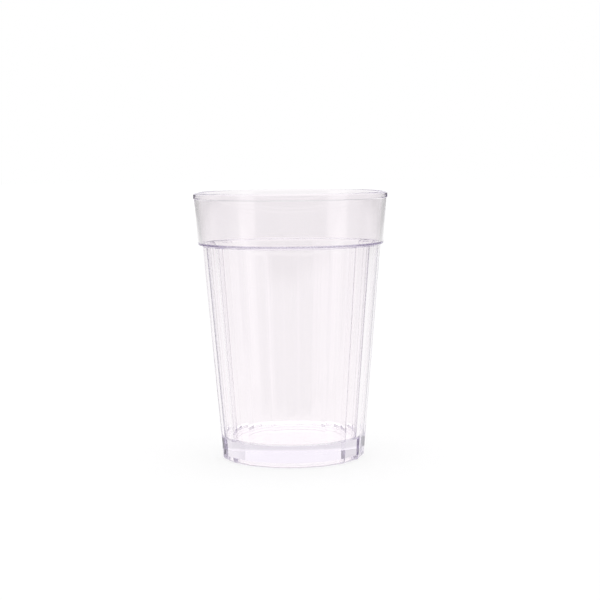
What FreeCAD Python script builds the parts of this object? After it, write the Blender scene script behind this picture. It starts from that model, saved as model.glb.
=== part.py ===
"""Clear plastic tumbler: one injection moulded piece.

Millimetres, +Z up. The origin is the middle of the foot, on the surface that the cup stands on.
The front of the cup faces -Y, and angles round the cup are measured from there towards +X.
"""
import FreeCAD, Part
import math
import os

# Overall
HEIGHT = 112.8
RIM_DIAMETER = 82.0             # over the rounded lip

# Smooth band at the mouth, with a rounded lip on top and a small ledge below
LIP_HEIGHT = 2.9
LIP_PROUD = 0.35                # how far the lip stands out from the band
LIP_THICKNESS = 2.0
LIP_ROUND = 0.95                # rounding of both top edges of the lip
BAND_HEIGHT = 22.1              # from the top of the lip down to the ledge
BAND_FOOT_DIAMETER = 78.5
BAND_WALL = 1.7
BAND_CORNER_ROUND = 0.4         # outer lower edge of the band
LEDGE_FILLET = 0.6              # where the panels run out under the ledge

# Tapered body of flat panels
PANEL_COUNT = 18
FIRST_RIDGE_ANGLE = 5.0
BODY_TOP_DIAMETER = 75.9        # over the ridges, at the ledge
BODY_FOOT_DIAMETER = 60.6       # over the ridges, at the foot
BODY_WALL = 1.55                # at the middle of a panel
FOOT_ROUND = 1.2

# Inside
STACKING_STEP_HEIGHT = 1.4      # the sloping step between the two bores
STACKING_STEP_OFFSET = 0.3      # how far the step starts below the ledge
STACKING_STEP_ROUND = 0.4
FLOOR_THICKNESS = 9.0           # up to the inside of the floor, the recess below it included
FLOOR_CORNER_ROUND = 1.5

# Underside
FOOT_RING_WIDTH = 2.6
RECESS_DEPTH = 1.9
RECESS_SLOPE = 0.8              # how far the recess wall leans inwards over its depth

# How far a cutting or joining solid runs past what it meets
OVERRUN = 5.0

NODE = "tumbler"

rim_radius = RIM_DIAMETER / 2
ledge_height = HEIGHT - BAND_HEIGHT
lip_foot_height = HEIGHT - LIP_HEIGHT
band_top_radius = rim_radius - LIP_PROUD
band_foot_radius = BAND_FOOT_DIAMETER / 2
mid_panel = math.cos(math.pi / PANEL_COUNT)
panel_top_distance = BODY_TOP_DIAMETER / 2 * mid_panel
panel_foot_distance = BODY_FOOT_DIAMETER / 2 * mid_panel


def band_radius(height):
    """Outer radius of the band's straight taper at a height."""
    share = (height - ledge_height) / (lip_foot_height - ledge_height)
    return band_foot_radius + share * (band_top_radius - band_foot_radius)


def panel_distance(height):
    """Distance from the axis to the middle of a panel at a height."""
    share = height / ledge_height
    return panel_foot_distance + share * (panel_top_distance - panel_foot_distance)


def corner(across, height, rounding=0.0):
    """A corner of an outline in the XZ plane, and the radius that rounds it."""
    return FreeCAD.Vector(across, 0, height), rounding


def rounded_outline(corners):
    """Closed face through the corners, each rounded by an arc of its own radius."""
    starts = []
    ends = []
    edges = []
    for index, (here, rounding) in enumerate(corners):
        before = corners[index - 1][0]
        after = corners[(index + 1) % len(corners)][0]
        if rounding == 0:
            starts.append(here)
            ends.append(here)
            continue
        back = (before - here).normalize()
        onward = (after - here).normalize()
        half_angle = back.getAngle(onward) / 2
        reach = rounding / math.tan(half_angle)
        inward = (back + onward).normalize()
        start = here + back * reach
        middle = here + inward * (rounding / math.sin(half_angle) - rounding)
        end = here + onward * reach
        edges.append(Part.Arc(start, middle, end).toShape())
        starts.append(start)
        ends.append(end)
    for index, end in enumerate(ends):
        start = starts[(index + 1) % len(starts)]
        edges.append(Part.makeLine(end, start))
    return Part.Face(Part.Wire(Part.__sortEdges__(edges)))


def turned(corners):
    """Solid of revolution about the cup's axis."""
    face = rounded_outline(corners)
    return face.revolve(FreeCAD.Vector(0, 0, 0), FreeCAD.Vector(0, 0, 1), 360)


def panel_pair(angle):
    """Slab whose two opposite sides are panels of the body, with the middle of one at an angle."""
    top = ledge_height + BAND_CORNER_ROUND
    top_distance = panel_top_distance + LEDGE_FILLET
    right = [
        corner(panel_foot_distance, 0, FOOT_ROUND),
        corner(panel_top_distance, ledge_height, LEDGE_FILLET),
        corner(top_distance, ledge_height),
        corner(top_distance, top),
    ]
    left = [corner(-place.x, place.z, rounding) for place, rounding in reversed(right)]
    face = rounded_outline(right + left)
    half_width = rim_radius + OVERRUN
    face.translate(FreeCAD.Vector(0, -half_width, 0))
    slab = face.extrude(FreeCAD.Vector(0, 2 * half_width, 0))
    slab.rotate(FreeCAD.Vector(0, 0, 0), FreeCAD.Vector(0, 0, 1), angle - 90)
    return slab


def panelled_body():
    """The body's outside as a solid, with every panel flat and every ridge sharp."""
    pitch = 360 / PANEL_COUNT
    body = None
    for index in range(PANEL_COUNT // 2):
        slab = panel_pair(FIRST_RIDGE_ANGLE + pitch * (index + 0.5))
        body = slab if body is None else body.common(slab)
    return body


def band_outside():
    """The mouth's band and lip as a solid without its bore."""
    return turned([
        corner(0, ledge_height),
        corner(band_foot_radius, ledge_height, BAND_CORNER_ROUND),
        corner(band_top_radius, lip_foot_height),
        corner(rim_radius, lip_foot_height + LIP_PROUD),
        corner(rim_radius, HEIGHT, LIP_ROUND),
        corner(0, HEIGHT),
    ])


def cavity():
    """The space inside the cup, as a solid that runs out past the mouth."""
    step_foot = ledge_height - STACKING_STEP_OFFSET
    step_top = step_foot + STACKING_STEP_HEIGHT
    mouth_radius = rim_radius - LIP_THICKNESS
    return turned([
        corner(0, FLOOR_THICKNESS),
        corner(panel_distance(FLOOR_THICKNESS) - BODY_WALL, FLOOR_THICKNESS, FLOOR_CORNER_ROUND),
        corner(panel_distance(step_foot) - BODY_WALL, step_foot, STACKING_STEP_ROUND),
        corner(band_radius(step_top) - BAND_WALL, step_top, STACKING_STEP_ROUND),
        corner(mouth_radius, HEIGHT, LIP_ROUND),
        corner(mouth_radius + LIP_ROUND, HEIGHT),
        corner(mouth_radius + LIP_ROUND, HEIGHT + OVERRUN),
        corner(0, HEIGHT + OVERRUN),
    ])


def recess():
    """The shallow hollow under the foot, which leaves a ring to stand on."""
    edge = panel_foot_distance - FOOT_RING_WIDTH
    return turned([
        corner(0, -OVERRUN),
        corner(edge, -OVERRUN),
        corner(edge, 0),
        corner(edge - RECESS_SLOPE, RECESS_DEPTH),
        corner(0, RECESS_DEPTH),
    ])


def tumbler():
    """The whole cup as one solid."""
    outside = panelled_body().fuse(band_outside())
    cup = outside.cut(cavity()).cut(recess()).removeSplitter()
    return cup.Solids[0]


def main():
    os.makedirs("parts", exist_ok=True)
    cup = tumbler()
    cup.exportStep("parts/" + NODE + ".step")
    box = cup.BoundBox
    print(NODE, "volume cm3", round(cup.Volume / 1000, 2), "height", round(box.ZLength, 2),
          "width", round(box.XLength, 2), "valid", cup.isValid(), "faces", len(cup.Faces))


main()
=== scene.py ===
"""A clear plastic tumbler, finely moulded, standing on a plain white floor."""
import math

import bpy
from mathutils import Matrix, Vector


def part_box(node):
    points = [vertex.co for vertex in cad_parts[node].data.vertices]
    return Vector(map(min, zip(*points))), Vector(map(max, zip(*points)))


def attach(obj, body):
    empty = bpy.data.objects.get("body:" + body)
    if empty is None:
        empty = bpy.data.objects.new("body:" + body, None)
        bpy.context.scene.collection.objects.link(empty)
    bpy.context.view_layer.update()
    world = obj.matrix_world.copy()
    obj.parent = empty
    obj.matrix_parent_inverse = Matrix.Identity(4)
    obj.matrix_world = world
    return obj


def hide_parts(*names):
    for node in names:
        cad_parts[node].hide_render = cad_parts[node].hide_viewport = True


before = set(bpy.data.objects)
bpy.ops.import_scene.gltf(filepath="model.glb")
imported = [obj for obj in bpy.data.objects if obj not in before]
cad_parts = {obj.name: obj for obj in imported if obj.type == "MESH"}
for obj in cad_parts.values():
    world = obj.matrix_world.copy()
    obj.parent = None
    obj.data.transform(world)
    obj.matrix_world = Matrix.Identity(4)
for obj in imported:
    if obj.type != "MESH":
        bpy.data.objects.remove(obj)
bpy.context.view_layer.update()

NODE = "tumbler"

# The cup's form, in metres. Height and rim come from the frame, the rest are the part's own sizes.
low_corner, high_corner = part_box(NODE)
HEIGHT = high_corner[2]
RIM_RADIUS = (high_corner[0] - low_corner[0]) / 2

LIP_HEIGHT = 0.0029
LIP_PROUD = 0.00035
LIP_THICKNESS = 0.0020
LIP_ROUND = 0.00095
BAND_HEIGHT = 0.0221
BAND_FOOT_RADIUS = 0.03925
BAND_WALL = 0.0017
BAND_CORNER_ROUND = 0.0004
LEDGE_FILLET = 0.0006
PANEL_COUNT = 18
FIRST_RIDGE_ANGLE = math.radians(5.0)
BODY_TOP_RADIUS = 0.03795
BODY_FOOT_RADIUS = 0.0303
BODY_WALL = 0.00155
FOOT_ROUND = 0.0012
STEP_HEIGHT = 0.0014
STEP_OFFSET = 0.0003
STEP_ROUND = 0.0004
FLOOR_THICKNESS = 0.0090
FLOOR_CORNER_ROUND = 0.0015
FOOT_RING_WIDTH = 0.0026
RECESS_DEPTH = 0.0019
RECESS_SLOPE = 0.0008

# Fineness of the mesh
COLUMNS_PER_PANEL = 20
ARC_STEP = math.radians(9)
FEWEST_ARC_STEPS = 2
LONGEST_ROW = 0.008

# The photograph's camera, with the sensor's width in millimetres
CAMERA_DISTANCE = 0.67235
CAMERA_HEIGHT = 0.12990
CAMERA_PITCH = math.radians(5.373)
CAMERA_YAW = math.radians(0.3135)
CAMERA_ROLL = math.radians(0.566)
FOCAL_PIXELS = 1587.36
IMAGE_PIXELS = 600
SENSOR_WIDTH = 36.0
NEAREST_SEEN = 0.05

WHITE = (1, 1, 1, 1)
DEGREES_IN_RADIAN = 180 / math.pi

# The plastic
PLASTIC_COLOUR = (0.995, 0.97, 0.985, 1)
PLASTIC_ROUGHNESS = 0.01
PLASTIC_IOR = 1.57
CAST_COLOUR = (0.40, 0.31, 0.54, 1)
CAST_DENSITY = 5.5
RIPPLE_SCALE = 90.0
RIPPLE_DETAIL = 1.0
RIPPLE_STRENGTH = 0.02
RIPPLE_DEPTH = 0.001

# The room as the cup's plastic shows it. Angles are degrees, from straight behind the cup towards +X.
# A pair of them is where a change begins and where it is complete.
BACK_MIDDLE = 5
BACK_ENDS = (25, 85)            # to either side of the back's middle
BACK_LEVEL = 1.2
SIDE_LEVEL = 0.35
FRONT_STARTS = (130, 150)       # to either side of the back's middle
FRONT_LEVEL = 0.15
DIM_COLOUR = (0.93, 0.90, 1.0, 1)

# Higher up in the room, with the pairs in degrees above level
TOP_STARTS = (18, 30)
TOP_LEVEL = 0.65
OVERHEAD_STARTS = (38, 48)
OVERHEAD_LEVEL = 1.1

# Each soft box: the angle of its middle, half its width, its lowest and highest edge, and its level
SOFT_BOXES = [(120, 12, -10, 50, 1.3), (-115, 15, -10, 50, 1.2)]
SOFT_EDGE = 8

# The floor, lit as one white sheet that ends some way in front of the cup and to its sides, with a
# small pool of light right behind the foot. An edge is where a change begins and where it is
# complete, in metres from the cup's axis.
FLOOR_REACH = 6.0
FLOOR_GAP = 0.00002
SHEET_LEVEL = 1.0
SHEET_FRONT_EDGE = (0.30, 0.38)
SHEET_SIDE_EDGE = (0.35, 0.8)
OFF_SHEET_LEVEL = 0.1           # as the plastic's surfaces reflect it
OFF_SHEET_LEVEL_THROUGH = 0.8   # as it shows through the plastic
# The pool is painted light: extra glow on the floor behind the foot, in place of the light the cup throws
# there
POOL_NEAR_EDGE = (0.018, 0.026)
POOL_FAR_EDGE = (0.048, 0.066)
POOL_SIDE_EDGE = (0.03, 0.05)
POOL_LIFT = 0.25
FLOOR_SEEN_LEVEL = 1.15
FLOOR_COLOUR = (0.9, 0.9, 0.9, 1)
SHADOW_SHARE = 0.35

# Light runs round inside the thick rim and ledge for a long way before it gets out
MOST_BOUNCES = 200

# Places of a Mix node's two colours among its inputs, and of the blended colour among its outputs
MIX_FIRST_COLOUR = 6
MIX_SECOND_COLOUR = 7
MIX_BLENDED_COLOUR = 2

ledge_height = HEIGHT - BAND_HEIGHT
lip_foot_height = HEIGHT - LIP_HEIGHT
band_top_radius = RIM_RADIUS - LIP_PROUD
half_pitch = math.pi / PANEL_COUNT
panel_top_distance = BODY_TOP_RADIUS * math.cos(half_pitch)
panel_foot_distance = BODY_FOOT_RADIUS * math.cos(half_pitch)
column_count = PANEL_COUNT * COLUMNS_PER_PANEL


def between(start, end, share):
    """The value at a share of the way from start to end."""
    return start + share * (end - start)


def band_radius(height):
    """Outer radius of the band's straight taper at a height."""
    share = (height - ledge_height) / (lip_foot_height - ledge_height)
    return between(BAND_FOOT_RADIUS, band_top_radius, share)


def panel_distance(height):
    """Distance from the axis to the middle of a panel at a height."""
    return between(panel_foot_distance, panel_top_distance, height / ledge_height)


class Outline:
    """The cup's half section, walked from the middle of the underside round to the middle of the floor.

    A row is a point of the section and whether it runs round the cup along the flat panels or in a
    circle. A span joins a row to the next, and holds the outward normal at each of its two ends.
    """

    def __init__(self, corners):
        self.rows = [(corners[0][0], False)]
        self.spans = []
        for index in range(1, len(corners)):
            place, rounding, panelled = corners[index]
            if rounding == 0:
                self.run_to(place, panelled)
            else:
                self.turn_at(place, corners[index + 1][0], rounding, panelled)

    def run_to(self, end, panelled):
        """A straight stretch."""
        start = self.rows[-1][0]
        along = (end - start).normalized()
        normal = Vector((along.y, -along.x))
        count = max(1, math.ceil((end - start).length / LONGEST_ROW))
        for step in range(1, count + 1):
            self.rows.append((start.lerp(end, step / count), panelled))
            self.spans.append((normal, normal))

    def turn_at(self, corner, after, rounding, panelled):
        """A straight stretch up to a rounded corner, and the arc that rounds it."""
        start = self.rows[-1][0]
        back = (start - corner).normalized()
        onward = (after - corner).normalized()
        half_angle = back.angle(onward) / 2
        reach = rounding / math.tan(half_angle)
        centre = corner + (back + onward).normalized() * (rounding / math.sin(half_angle))
        self.run_to(corner + back * reach, panelled)
        first = corner + back * reach - centre
        outward = Vector((-back.y, back.x))
        bulge = math.copysign(1, first.dot(outward))
        sweep = math.copysign(math.pi - 2 * half_angle, bulge)
        count = max(FEWEST_ARC_STEPS, math.ceil(abs(sweep) / ARC_STEP))
        ray = first
        for step in range(1, count + 1):
            ray_after = Matrix.Rotation(sweep * step / count, 2) @ first
            self.rows.append((centre + ray_after, panelled))
            self.spans.append((ray.normalized() * bulge, ray_after.normalized() * bulge))
            ray = ray_after


def cup_outline():
    """Half section of the cup, with the same corners as the solid it stands for."""
    step_foot = ledge_height - STEP_OFFSET
    step_top = step_foot + STEP_HEIGHT
    ring_edge = panel_foot_distance - FOOT_RING_WIDTH
    mouth_radius = RIM_RADIUS - LIP_THICKNESS
    floor_radius = panel_distance(FLOOR_THICKNESS) - BODY_WALL
    return Outline([
        (Vector((0, RECESS_DEPTH)), 0, False),
        (Vector((ring_edge - RECESS_SLOPE, RECESS_DEPTH)), 0, False),
        (Vector((ring_edge, 0)), 0, False),
        (Vector((panel_foot_distance, 0)), FOOT_ROUND, True),
        (Vector((panel_top_distance, ledge_height)), LEDGE_FILLET, True),
        (Vector((BAND_FOOT_RADIUS, ledge_height)), BAND_CORNER_ROUND, False),
        (Vector((band_top_radius, lip_foot_height)), 0, False),
        (Vector((RIM_RADIUS, lip_foot_height + LIP_PROUD)), 0, False),
        (Vector((RIM_RADIUS, HEIGHT)), LIP_ROUND, False),
        (Vector((mouth_radius, HEIGHT)), LIP_ROUND, False),
        (Vector((band_radius(step_top) - BAND_WALL, step_top)), STEP_ROUND, False),
        (Vector((panel_distance(step_foot) - BODY_WALL, step_foot)), STEP_ROUND, False),
        (Vector((floor_radius, FLOOR_THICKNESS)), FLOOR_CORNER_ROUND, False),
        (Vector((0, FLOOR_THICKNESS)), 0, False),
    ])


def facing(column):
    """The way that a column's own panel faces."""
    panel = column // COLUMNS_PER_PANEL
    return FIRST_RIDGE_ANGLE + half_pitch * (2 * panel + 1) - math.pi / 2


def swing(column):
    """How far a column lies from the middle of its panel, from -1 at one ridge to 1 at the next."""
    return 2 * (column % COLUMNS_PER_PANEL) / COLUMNS_PER_PANEL - 1


def round_angle(column):
    """The angle of a column round the cup."""
    return facing(column) + half_pitch * swing(column)


def row_points(place, panelled):
    """The points of one row of the mesh, one for each column."""
    points = []
    for column in range(column_count):
        if panelled:
            out = Matrix.Rotation(facing(column), 2) @ Vector((1, math.tan(half_pitch) * swing(column)))
        else:
            out = Matrix.Rotation(round_angle(column), 2) @ Vector((1, 0))
        points.append((out.x * place.x, out.y * place.x, place.y))
    return points


def turned_normal(normal, angle):
    """A normal of the half section, turned to an angle round the cup."""
    return (normal.x * math.cos(angle), normal.x * math.sin(angle), normal.y)


def normal_angles(column, flat):
    """The ways that the surface faces at a column and at the next one."""
    if flat:
        return facing(column), facing(column)
    angle = round_angle(column)
    return angle, angle + 2 * half_pitch / COLUMNS_PER_PANEL


def cup_points(outline):
    """The points of all rows, and the index of each row's first. A row on the axis is one point."""
    points = []
    starts = []
    for place, panelled in outline.rows:
        starts.append(len(points))
        ring = row_points(place, panelled)
        points += ring if place.x > 0 else ring[:1]
    return points, starts


def cup_mesh():
    """The cup's whole surface as one closed mesh, with an exact normal at each corner of each face."""
    outline = cup_outline()
    points, starts = cup_points(outline)
    faces = []
    normals = []
    for row, (normal, normal_after) in enumerate(outline.spans):
        place, panelled = outline.rows[row]
        place_after, panelled_after = outline.rows[row + 1]
        low = starts[row]
        high = starts[row + 1]
        for column in range(column_count):
            after = (column + 1) % column_count
            angle, angle_after = normal_angles(column, panelled and panelled_after)
            corners = [
                (low + column, turned_normal(normal, angle)),
                (low + after, turned_normal(normal, angle_after)),
                (high + after, turned_normal(normal_after, angle_after)),
                (high + column, turned_normal(normal_after, angle)),
            ]
            if place.x == 0:
                corners = [(low, corners[0][1]), corners[2], corners[3]]
            elif place_after.x == 0:
                corners = [corners[0], corners[1], (high, corners[2][1])]
            faces.append([index for index, _ in corners])
            normals += [direction for _, direction in corners]
    mesh = bpy.data.meshes.new("cup_surface")
    mesh.from_pydata(points, [], faces)
    mesh.shade_smooth()
    mesh.normals_split_custom_set(normals)
    return mesh


class Value:
    """A node's output that can be added, multiplied and compared as a number."""

    def __init__(self, nodes, socket):
        self.nodes = nodes
        self.socket = socket

    def output(self, name):
        """Another output of the same node."""
        return Value(self.nodes, self.socket.node.outputs[name])

    def maths(self, operation, *others):
        return self.nodes.add("ShaderNodeMath", {"operation": operation}, [self, *others])

    def __add__(self, other):
        return self.maths("ADD", other)

    def __sub__(self, other):
        return self.maths("SUBTRACT", other)

    def __rsub__(self, other):
        return self.nodes.add("ShaderNodeMath", {"operation": "SUBTRACT"}, [other, self])

    def __mul__(self, other):
        return self.maths("MULTIPLY", other)

    def __abs__(self):
        return self.maths("ABSOLUTE")

    __radd__ = __add__
    __rmul__ = __mul__

    def rise(self, low, high):
        """0 below low, 1 above high, and a smooth rise between them."""
        settings = {"interpolation_type": "SMOOTHSTEP"}
        ends = {"From Min": low, "From Max": high}
        return self.nodes.add("ShaderNodeMapRange", settings, {"Value": self, **ends})

    def fall(self, low, high):
        """1 below low, 0 above high, and a smooth fall between them."""
        return 1 - self.rise(low, high)

    def zone(self, low, high):
        """1 between low and high, with soft edges."""
        half = SOFT_EDGE / 2
        return self.rise(low - half, low + half) * self.fall(high - half, high + half)


class Nodes:
    """The node tree of a material or world, cleared and ready for new nodes."""

    def __init__(self, owner):
        owner.use_nodes = True
        self.tree = owner.node_tree
        self.tree.nodes.clear()

    def add(self, kind, settings=None, inputs=None, output=0):
        """A new node: its settings first, then its sockets by name or place. Gives back one output."""
        made = self.tree.nodes.new(kind)
        for name, value in (settings or {}).items():
            setattr(made, name, value)
        pairs = inputs.items() if isinstance(inputs, dict) else enumerate(inputs or [])
        for key, value in pairs:
            if isinstance(value, Value):
                self.tree.links.new(value.socket, made.inputs[key])
            else:
                made.inputs[key].default_value = value
        return Value(self, made.outputs[output]) if made.outputs else None


def clear_plastic():
    """Water-clear moulded plastic with a faint violet cast that deepens where it is thick."""
    material = bpy.data.materials.new("clear_plastic")
    nodes = Nodes(material)
    place = nodes.add("ShaderNodeTexCoord", output="Object")
    ripple = nodes.add("ShaderNodeTexNoise", inputs={
        "Vector": place,
        "Scale": RIPPLE_SCALE,
        "Detail": RIPPLE_DETAIL,
    })
    bump = nodes.add("ShaderNodeBump", inputs={
        "Height": ripple,
        "Strength": RIPPLE_STRENGTH,
        "Distance": RIPPLE_DEPTH,
    })
    surface = nodes.add("ShaderNodeBsdfPrincipled", inputs={
        "Base Color": PLASTIC_COLOUR,
        "Roughness": PLASTIC_ROUGHNESS,
        "IOR": PLASTIC_IOR,
        "Transmission Weight": 1.0,
        "Normal": bump,
    })
    cast = nodes.add("ShaderNodeVolumeAbsorption", inputs={"Color": CAST_COLOUR, "Density": CAST_DENSITY})
    nodes.add("ShaderNodeOutputMaterial", inputs={"Surface": surface, "Volume": cast})
    return material


def cup():
    """The cup as one piece, in place of the plain solid."""
    piece = bpy.data.objects.new("moulded_cup", cup_mesh())
    bpy.context.collection.objects.link(piece)
    piece.data.materials.append(clear_plastic())
    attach(piece, "root")
    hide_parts(NODE)
    return piece


def camera():
    """The camera at the photograph's place and angle."""
    lens = bpy.data.cameras.new("camera")
    lens.sensor_width = SENSOR_WIDTH
    lens.lens = FOCAL_PIXELS * SENSOR_WIDTH / IMAGE_PIXELS
    lens.clip_start = NEAREST_SEEN
    eye = bpy.data.objects.new("camera", lens)
    bpy.context.collection.objects.link(eye)
    upright = Vector((0, 0, 1))
    flat_ahead = Vector((math.sin(CAMERA_YAW), math.cos(CAMERA_YAW), 0))
    right = Vector((math.cos(CAMERA_YAW), -math.sin(CAMERA_YAW), 0))
    ahead = flat_ahead * math.cos(CAMERA_PITCH) - upright * math.sin(CAMERA_PITCH)
    up = upright * math.cos(CAMERA_PITCH) + flat_ahead * math.sin(CAMERA_PITCH)
    rolled_right = right * math.cos(CAMERA_ROLL) - up * math.sin(CAMERA_ROLL)
    rolled_up = right * math.sin(CAMERA_ROLL) + up * math.cos(CAMERA_ROLL)
    turn = Matrix((rolled_right, rolled_up, -ahead)).transposed()
    eye.matrix_world = Matrix.Translation((0, -CAMERA_DISTANCE, CAMERA_HEIGHT)) @ turn.to_4x4()
    bpy.context.scene.camera = eye


def floor():
    """A white floor that runs far past the view and holds the cup's soft shadow."""
    mesh = bpy.data.meshes.new("floor")
    corners = [(-FLOOR_REACH, -FLOOR_REACH, 0), (FLOOR_REACH, -FLOOR_REACH, 0)]
    corners += [(FLOOR_REACH, FLOOR_REACH, 0), (-FLOOR_REACH, FLOOR_REACH, 0)]
    mesh.from_pydata(corners, [], [(0, 1, 2, 3)])
    piece = bpy.data.objects.new("floor", mesh)
    bpy.context.collection.objects.link(piece)
    piece.location.z = -FLOOR_GAP
    piece.data.materials.append(white_floor())


def white_floor():
    """White with a soft shadow to the camera. To the cup, a lit sheet with a pool of light on it.

    The floor round the sheet is darker where the plastic reflects it than where it shows through.
    """
    material = bpy.data.materials.new("white_floor")
    nodes = Nodes(material)
    place = nodes.add("ShaderNodeTexCoord", output="Object")
    x = nodes.add("ShaderNodeSeparateXYZ", inputs=[place])
    behind = x.output("Y")
    in_front = -1 * behind
    aside = abs(x)
    on_sheet = in_front.fall(*SHEET_FRONT_EDGE) * aside.fall(*SHEET_SIDE_EDGE)
    # Painted pool of light behind the foot, added to the floor's glow in place of the light the cup
    # throws
    pool = behind.rise(*POOL_NEAR_EDGE) * behind.fall(*POOL_FAR_EDGE) * aside.fall(*POOL_SIDE_EDGE)
    seen = nodes.add("ShaderNodeLightPath", output="Is Camera Ray")
    through = seen.output("Is Transmission Ray")
    off_sheet = OFF_SHEET_LEVEL + (OFF_SHEET_LEVEL_THROUGH - OFF_SHEET_LEVEL) * through
    lit = off_sheet + (SHEET_LEVEL - off_sheet) * on_sheet + POOL_LIFT * pool
    brightness = seen * FLOOR_SEEN_LEVEL + (1 - seen) * lit
    glow = nodes.add("ShaderNodeEmission", inputs={"Color": brightness})
    matt = nodes.add("ShaderNodeBsdfDiffuse", inputs={"Color": FLOOR_COLOUR})
    mixed = nodes.add("ShaderNodeMixShader", inputs=[seen * SHADOW_SHARE, glow, matt])
    nodes.add("ShaderNodeOutputMaterial", inputs={"Surface": mixed})
    return material


def room():
    """White to the camera, and a studio to the cup.

    The studio is bright behind, dimmer at the sides with a soft box each, and dark in front. Above
    them runs a dim gap, with a soft light overhead.
    """
    studio = bpy.data.worlds.new("studio")
    bpy.context.scene.world = studio
    nodes = Nodes(studio)
    direction = nodes.add("ShaderNodeTexCoord", output="Generated")
    x = nodes.add("ShaderNodeSeparateXYZ", inputs=[direction])
    angle = x.maths("ARCTAN2", x.output("Y")) * DEGREES_IN_RADIAN
    height = x.output("Z").maths("ARCSINE") * DEGREES_IN_RADIAN
    from_back = abs(angle - BACK_MIDDLE)
    level = BACK_LEVEL + (SIDE_LEVEL - BACK_LEVEL) * from_back.rise(*BACK_ENDS)
    level = level + (FRONT_LEVEL - SIDE_LEVEL) * from_back.rise(*FRONT_STARTS)
    for middle, half_width, low, high, strength in SOFT_BOXES:
        box = angle.zone(middle - half_width, middle + half_width) * height.zone(low, high)
        level = level + (strength - level) * box
    level = level + (TOP_LEVEL - level) * height.rise(*TOP_STARTS)
    level = level + (OVERHEAD_LEVEL - level) * height.rise(*OVERHEAD_STARTS)
    seen = nodes.add("ShaderNodeLightPath", output="Is Camera Ray")
    lit = level.rise(FRONT_LEVEL, 1.0).maths("MAXIMUM", seen)
    blend = {"Factor": lit, MIX_FIRST_COLOUR: DIM_COLOUR, MIX_SECOND_COLOUR: WHITE}
    colour = nodes.add("ShaderNodeMix", {"data_type": "RGBA"}, blend, output=MIX_BLENDED_COLOUR)
    strength = seen + (1 - seen) * level
    sky = nodes.add("ShaderNodeBackground", inputs={"Color": colour, "Strength": strength})
    nodes.add("ShaderNodeOutputWorld", inputs={"Surface": sky})


def finish_settings():
    """The plain view of colours, and enough bounces for the thick rim and ledge."""
    scene = bpy.context.scene
    scene.view_settings.view_transform = "Standard"
    scene.cycles.max_bounces = MOST_BOUNCES
    scene.cycles.transmission_bounces = MOST_BOUNCES
    scene.cycles.glossy_bounces = MOST_BOUNCES


cup()
camera()
floor()
room()
finish_settings()
